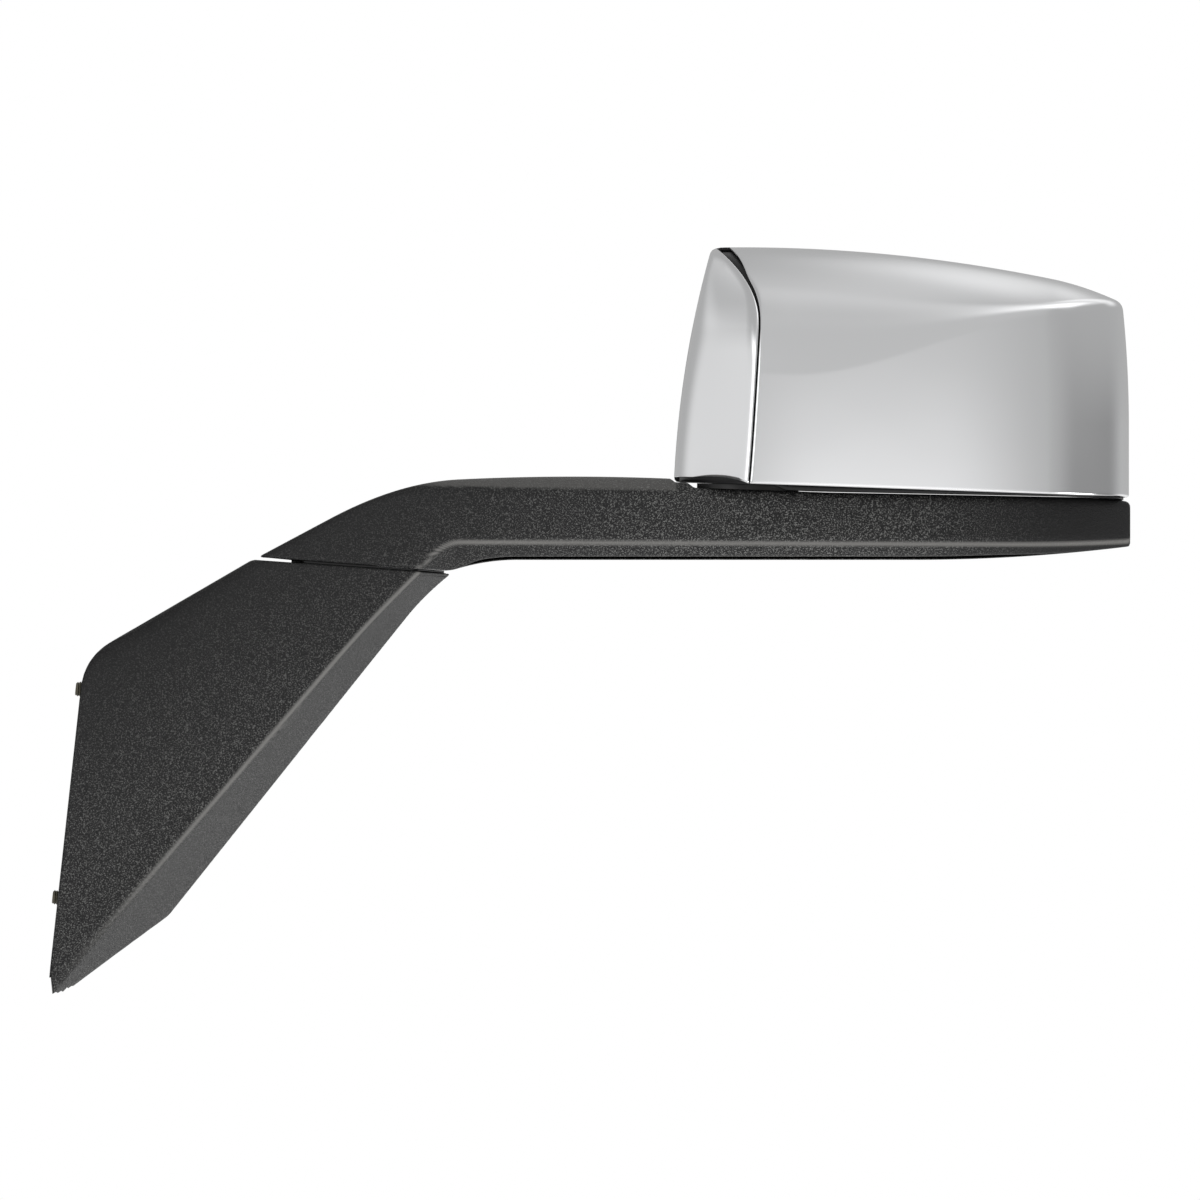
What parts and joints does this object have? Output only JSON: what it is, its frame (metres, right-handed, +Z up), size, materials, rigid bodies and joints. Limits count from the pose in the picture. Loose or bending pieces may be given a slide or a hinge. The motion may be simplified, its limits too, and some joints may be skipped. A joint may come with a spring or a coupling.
{
  "type": "hood mirror",
  "caption": "Hood-mounted vehicle side mirror: textured wedge base, bent fold-away arm and chromed head with a convex glass on a ball joint.",
  "frame": {"origin": "centre of the seat face, the gasket's outer face, where the base meets the hood's side", "axes": "+X out along the arm, away from the hood; +Z up; -Y is the chromed side that faces forwards, +Y the glass side that faces the driver"},
  "size_m": [0.5941, 0.1182, 0.4112],
  "materials": {
    "black_cover": "spark-eroded grain, matte black",
    "black_housing": "fine satin black",
    "chrome": "chromed plastic",
    "cast_alloy": "as cast",
    "steel": "zinc plated",
    "plated_studs": "olive zinc plated",
    "bronze": "sintered bronze",
    "nylon": "black nylon",
    "rubber": "moulded rubber",
    "foam": "adhesive foam",
    "mirror_glass": "silvered convex glass"
  },
  "bodies": {
    "base": {"base_cover": "black_cover", "base_bracket": "cast_alloy", "base_gasket": "rubber", "mounting_studs": "plated_studs", "base_cover_screws": "steel", "fold_bush": "bronze", "wear_disc": "nylon"},
    "arm": {"arm_beam": "cast_alloy", "arm_cover_front": "black_cover", "arm_cover_rear": "black_cover", "arm_cover_screws": "steel", "fold_post": "steel", "thrust_washer": "steel", "disc_springs": "steel", "fold_nut": "steel", "stop_pin": "steel", "head_post": "steel", "pivot_pad": "nylon", "head_spring": "steel", "spring_seat": "steel", "spring_cap": "steel", "head_nut": "steel"},
    "head": {"head_bracket": "cast_alloy", "head_bush": "bronze", "head_housing": "black_housing", "bezel_ring": "black_housing", "chrome_cover": "chrome", "chrome_end_cap": "chrome", "housing_screws": "steel", "ball_stud": "steel", "stud_nut": "steel"},
    "ball_cup": {"ball_liner": "nylon"},
    "glass": {"glass_carrier": "black_housing", "socket_ring": "steel", "foam_pad": "foam", "mirror_glass": "mirror_glass"}
  },
  "joints": [
    {"name": "arm_fold", "type": "hinge", "parent": "base", "child": "arm", "pos_m": [0.132, 0, 0.12856], "axis": [0.0715, 0, 0.9974], "range_deg": [-60, 60]},
    {"name": "head_turn", "type": "hinge", "parent": "arm", "child": "head", "pos_m": [0.358, -0.006, 0.17248], "axis": [0.0349, 0, 0.9994], "range_deg": [-15, 15]},
    {"name": "glass_tilt", "type": "hinge", "parent": "head", "child": "ball_cup", "pos_m": [0.449, 0.017, 0.227], "axis": [1, 0, 0], "range_deg": [-6, 6]},
    {"name": "glass_swivel", "type": "hinge", "parent": "ball_cup", "child": "glass", "pos_m": [0.449, 0.017, 0.227], "axis": [0, 0, 1], "range_deg": [-6, 6]}
  ]
}
